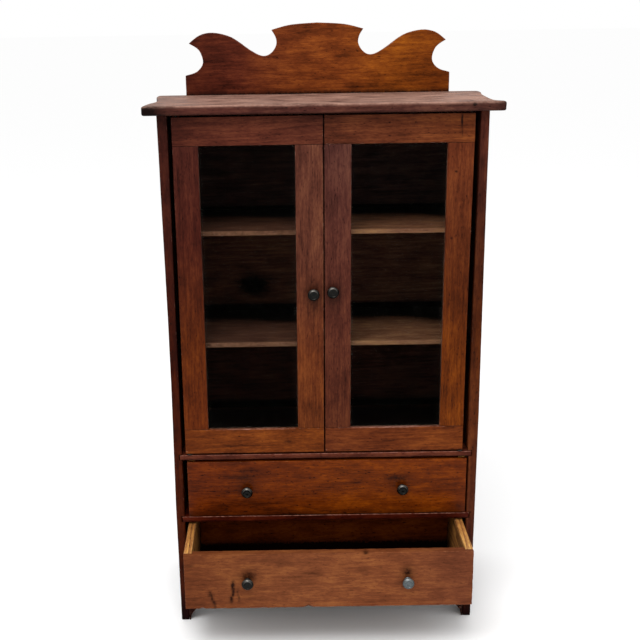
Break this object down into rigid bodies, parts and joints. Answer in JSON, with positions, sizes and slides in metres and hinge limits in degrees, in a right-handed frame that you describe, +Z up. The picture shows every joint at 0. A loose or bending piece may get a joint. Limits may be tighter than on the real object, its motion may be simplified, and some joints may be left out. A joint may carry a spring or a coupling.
{
  "type": "miniature bookcase",
  "caption": "Miniature wooden bookcase with a fretted crest, glazed doors on pivot pins, shelves behind them and drawers below.",
  "frame": {"origin": "on the floor under the middle of the object's box, with the lower drawer standing open as at rest", "axes": "+Z up, the front with the doors and drawers faces -Y, +X to the right as seen from the front"},
  "size_m": [0.33, 0.2056, 0.5982],
  "materials": {
    "stained_wood": "old dark red-brown stain and varnish, worn at the edges",
    "door_wood": "old red-brown stain and varnish",
    "drawer_front_wood": "old orange-brown varnish, scratched",
    "inside_wood": "dark, dusty, unpolished",
    "raw_pine": "bare aged pine",
    "patinated_brass": "nearly black patina, rubbed on the rim",
    "steel": "dull nail steel",
    "old_glass": "thin old clear glass, dusty at its edges"
  },
  "bodies": {
    "carcass": {"bottom_back_board": "inside_wood", "bottom_board": "stained_wood", "cabinet_floor": "stained_wood", "crest_board": "stained_wood", "drawer_divider": "stained_wood", "front_apron": "stained_wood", "left_door_bottom_pin": "steel", "left_door_top_pin": "steel", "left_door_washer": "steel", "left_side": "stained_wood", "lower_back_board": "inside_wood", "lower_drawer_stop": "raw_pine", "lower_shelf": "inside_wood", "middle_back_board": "inside_wood", "right_door_bottom_pin": "steel", "right_door_top_pin": "steel", "right_door_washer": "steel", "right_side": "stained_wood", "top_board": "stained_wood", "upper_back_board": "inside_wood", "upper_drawer_stop": "raw_pine", "upper_shelf": "inside_wood"},
    "left_door": {"left_door_bottom_bead": "door_wood", "left_door_bottom_rail": "door_wood", "left_door_glass": "old_glass", "left_door_hinge_bead": "door_wood", "left_door_hinge_stile": "door_wood", "left_door_knob": "patinated_brass", "left_door_meeting_bead": "door_wood", "left_door_meeting_stile": "door_wood", "left_door_top_bead": "door_wood", "left_door_top_rail": "door_wood"},
    "right_door": {"right_door_bottom_bead": "door_wood", "right_door_bottom_rail": "door_wood", "right_door_glass": "old_glass", "right_door_hinge_bead": "door_wood", "right_door_hinge_stile": "door_wood", "right_door_knob": "patinated_brass", "right_door_meeting_bead": "door_wood", "right_door_meeting_stile": "door_wood", "right_door_top_bead": "door_wood", "right_door_top_rail": "door_wood"},
    "upper_drawer": {"upper_drawer_back": "stained_wood", "upper_drawer_bottom": "raw_pine", "upper_drawer_front": "drawer_front_wood", "upper_drawer_left_knob": "patinated_brass", "upper_drawer_left_side": "raw_pine", "upper_drawer_right_knob": "patinated_brass", "upper_drawer_right_side": "raw_pine"},
    "lower_drawer": {"lower_drawer_back": "stained_wood", "lower_drawer_bottom": "raw_pine", "lower_drawer_front": "drawer_front_wood", "lower_drawer_left_knob": "patinated_brass", "lower_drawer_left_side": "raw_pine", "lower_drawer_right_knob": "patinated_brass", "lower_drawer_right_side": "raw_pine"}
  },
  "joints": [
    {"name": "left_door_hinge", "type": "hinge", "parent": "carcass", "child": "left_door", "pos_m": [-0.1347, -0.03085, 0.3525], "axis": [0, 0, -1], "range_deg": [0, 140]},
    {"name": "right_door_hinge", "type": "hinge", "parent": "carcass", "child": "right_door", "pos_m": [0.1336, -0.03085, 0.3525], "axis": [0, 0, 1], "range_deg": [0, 140]},
    {"name": "upper_drawer_slide", "type": "slide", "parent": "carcass", "child": "upper_drawer", "axis": [0, -1, 0], "range_m": [0, 0.085]},
    {"name": "lower_drawer_slide", "type": "slide", "parent": "carcass", "child": "lower_drawer", "axis": [0, -1, 0], "range_m": [-0.062, 0.023]}
  ]
}
